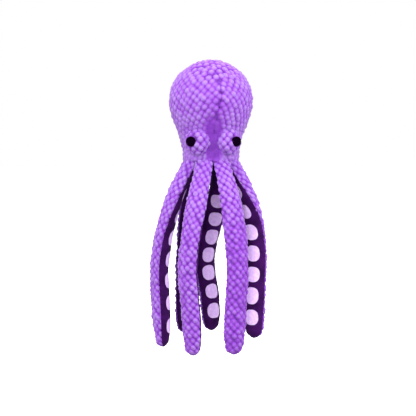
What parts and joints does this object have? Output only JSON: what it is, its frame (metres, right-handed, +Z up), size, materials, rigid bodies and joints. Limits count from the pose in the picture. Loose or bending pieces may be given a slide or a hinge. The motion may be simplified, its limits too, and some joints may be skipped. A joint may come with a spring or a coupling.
{
  "type": "plush octopus toy",
  "caption": "Stuffed plush octopus toy that hangs from its crown: round bubble-plush head with padded eye mounds, and long hinged arms lined with dark cloth printed with pale suckers.",
  "frame": {"origin": "top of the crown, on the axis of the head, with the toy hanging upright", "axes": "+Z up out of the crown, -Y out of the face, +X to the right of somebody who looks at the face"},
  "size_m": [0.1287, 0.1288, 0.319],
  "materials": {
    "plush": "purple velvet plush with raised bubbles",
    "lining": "smooth dark purple cloth printed with pale lilac discs on the arms",
    "eye": "black satin embroidery",
    "filling": "white polyester fibre",
    "squeaker": "soft translucent white",
    "reed": "moulded"
  },
  "bodies": {
    "head": {"eye_left": "eye", "eye_mound_left": "plush", "eye_mound_left_filling": "filling", "eye_mound_right": "plush", "eye_mound_right_filling": "filling", "eye_right": "eye", "head_filling": "filling", "head_panel_left": "plush", "head_panel_right": "plush", "neck_base_panel": "lining", "squeaker_bulb": "squeaker", "squeaker_reed": "reed"},
    "arm_front_left_upper": {"arm_front_left_upper_filling": "filling", "arm_front_left_upper_lining": "lining", "arm_front_left_upper_plush": "plush"},
    "arm_front_left_lower": {"arm_front_left_lower_filling": "filling", "arm_front_left_lower_lining": "lining", "arm_front_left_lower_plush": "plush"},
    "arm_front_right_upper": {"arm_front_right_upper_filling": "filling", "arm_front_right_upper_lining": "lining", "arm_front_right_upper_plush": "plush"},
    "arm_front_right_lower": {"arm_front_right_lower_filling": "filling", "arm_front_right_lower_lining": "lining", "arm_front_right_lower_plush": "plush"},
    "arm_side_left_upper": {"arm_side_left_upper_filling": "filling", "arm_side_left_upper_lining": "lining", "arm_side_left_upper_plush": "plush"},
    "arm_side_left_lower": {"arm_side_left_lower_filling": "filling", "arm_side_left_lower_lining": "lining", "arm_side_left_lower_plush": "plush"},
    "arm_side_right_upper": {"arm_side_right_upper_filling": "filling", "arm_side_right_upper_lining": "lining", "arm_side_right_upper_plush": "plush"},
    "arm_side_right_lower": {"arm_side_right_lower_filling": "filling", "arm_side_right_lower_lining": "lining", "arm_side_right_lower_plush": "plush"},
    "arm_back_left_upper": {"arm_back_left_upper_filling": "filling", "arm_back_left_upper_lining": "lining", "arm_back_left_upper_plush": "plush"},
    "arm_back_left_lower": {"arm_back_left_lower_filling": "filling", "arm_back_left_lower_lining": "lining", "arm_back_left_lower_plush": "plush"},
    "arm_back_right_upper": {"arm_back_right_upper_filling": "filling", "arm_back_right_upper_lining": "lining", "arm_back_right_upper_plush": "plush"},
    "arm_back_right_lower": {"arm_back_right_lower_filling": "filling", "arm_back_right_lower_lining": "lining", "arm_back_right_lower_plush": "plush"},
    "arm_rear_left_upper": {"arm_rear_left_upper_filling": "filling", "arm_rear_left_upper_lining": "lining", "arm_rear_left_upper_plush": "plush"},
    "arm_rear_left_lower": {"arm_rear_left_lower_filling": "filling", "arm_rear_left_lower_lining": "lining", "arm_rear_left_lower_plush": "plush"},
    "arm_rear_right_upper": {"arm_rear_right_upper_filling": "filling", "arm_rear_right_upper_lining": "lining", "arm_rear_right_upper_plush": "plush"},
    "arm_rear_right_lower": {"arm_rear_right_lower_filling": "filling", "arm_rear_right_lower_lining": "lining", "arm_rear_right_lower_plush": "plush"}
  },
  "joints": [
    {"name": "arm_front_left_lift", "type": "hinge", "parent": "head", "child": "arm_front_left_upper", "pos_m": [-0.01033, -0.02494, -0.12], "axis": [-0.9239, 0.3827, 0], "range_deg": [-2, 60], "stiffness_Nm_per_rad": 0.012, "springref_deg": 7.45},
    {"name": "arm_front_left_curl", "type": "hinge", "parent": "arm_front_left_upper", "child": "arm_front_left_lower", "pos_m": [-0.02756, -0.0462, -0.21716], "axis": [-0.8588, 0.5123, 0], "range_deg": [-4, 90], "stiffness_Nm_per_rad": 0.005, "springref_deg": -0.57},
    {"name": "arm_front_right_lift", "type": "hinge", "parent": "head", "child": "arm_front_right_upper", "pos_m": [0.01033, -0.02494, -0.12], "axis": [-0.9239, -0.3827, 0], "range_deg": [-2, 60], "stiffness_Nm_per_rad": 0.012, "springref_deg": 7.68},
    {"name": "arm_front_right_curl", "type": "hinge", "parent": "arm_front_right_upper", "child": "arm_front_right_lower", "pos_m": [0.02351, -0.04829, -0.21671], "axis": [-0.8991, -0.4378, 0], "range_deg": [-4, 90], "stiffness_Nm_per_rad": 0.005},
    {"name": "arm_side_left_lift", "type": "hinge", "parent": "head", "child": "arm_side_left_upper", "pos_m": [-0.02494, -0.01033, -0.12], "axis": [-0.3827, 0.9239, 0], "range_deg": [-2, 60], "stiffness_Nm_per_rad": 0.012, "springref_deg": 7.16},
    {"name": "arm_side_left_curl", "type": "hinge", "parent": "arm_side_left_upper", "child": "arm_side_left_lower", "pos_m": [-0.05423, -0.00479, -0.21521], "axis": [-0.0879, 0.9961, 0], "range_deg": [-4, 90], "stiffness_Nm_per_rad": 0.005, "springref_deg": 0.06},
    {"name": "arm_side_right_lift", "type": "hinge", "parent": "head", "child": "arm_side_right_upper", "pos_m": [0.02494, -0.01033, -0.12], "axis": [-0.3827, -0.9239, 0], "range_deg": [-2, 60], "stiffness_Nm_per_rad": 0.012, "springref_deg": 6.07},
    {"name": "arm_side_right_curl", "type": "hinge", "parent": "arm_side_right_upper", "child": "arm_side_right_lower", "pos_m": [0.04809, -0.01349, -0.21085], "axis": [-0.2701, -0.9628, 0], "range_deg": [-4, 90], "stiffness_Nm_per_rad": 0.005, "springref_deg": -0.34},
    {"name": "arm_back_left_lift", "type": "hinge", "parent": "head", "child": "arm_back_left_upper", "pos_m": [-0.02494, 0.01033, -0.12], "axis": [0.3827, 0.9239, 0], "range_deg": [-2, 60], "stiffness_Nm_per_rad": 0.012, "springref_deg": 8.82},
    {"name": "arm_back_left_curl", "type": "hinge", "parent": "arm_back_left_upper", "child": "arm_back_left_lower", "pos_m": [-0.05323, 0.02622, -0.21111], "axis": [0.4419, 0.8971, 0], "range_deg": [-4, 90], "stiffness_Nm_per_rad": 0.005, "springref_deg": 0.92},
    {"name": "arm_back_right_lift", "type": "hinge", "parent": "head", "child": "arm_back_right_upper", "pos_m": [0.02494, 0.01033, -0.12], "axis": [0.3827, -0.9239, 0], "range_deg": [-2, 60], "stiffness_Nm_per_rad": 0.012, "springref_deg": 7.73},
    {"name": "arm_back_right_curl", "type": "hinge", "parent": "arm_back_right_upper", "child": "arm_back_right_lower", "pos_m": [0.05001, 0.02414, -0.209], "axis": [0.4346, -0.9006, 0], "range_deg": [-4, 90], "stiffness_Nm_per_rad": 0.005, "springref_deg": 0.92},
    {"name": "arm_rear_left_lift", "type": "hinge", "parent": "head", "child": "arm_rear_left_upper", "pos_m": [-0.01033, 0.02494, -0.12], "axis": [0.9239, 0.3827, 0], "range_deg": [-2, 60], "stiffness_Nm_per_rad": 0.012, "springref_deg": 5.84},
    {"name": "arm_rear_left_curl", "type": "hinge", "parent": "arm_rear_left_upper", "child": "arm_rear_left_lower", "pos_m": [-0.0234, 0.041, -0.21195], "axis": [0.8685, 0.4956, 0], "range_deg": [-4, 90], "stiffness_Nm_per_rad": 0.005, "springref_deg": 0.29},
    {"name": "arm_rear_right_lift", "type": "hinge", "parent": "head", "child": "arm_rear_right_upper", "pos_m": [0.01033, 0.02494, -0.12], "axis": [0.9239, -0.3827, 0], "range_deg": [-2, 60], "stiffness_Nm_per_rad": 0.012, "springref_deg": 7.45},
    {"name": "arm_rear_right_curl", "type": "hinge", "parent": "arm_rear_right_upper", "child": "arm_rear_right_lower", "pos_m": [0.00046, 0.05637, -0.21086], "axis": [1, -0.0082, 0], "range_deg": [-4, 90], "stiffness_Nm_per_rad": 0.005, "springref_deg": 0.92}
  ]
}
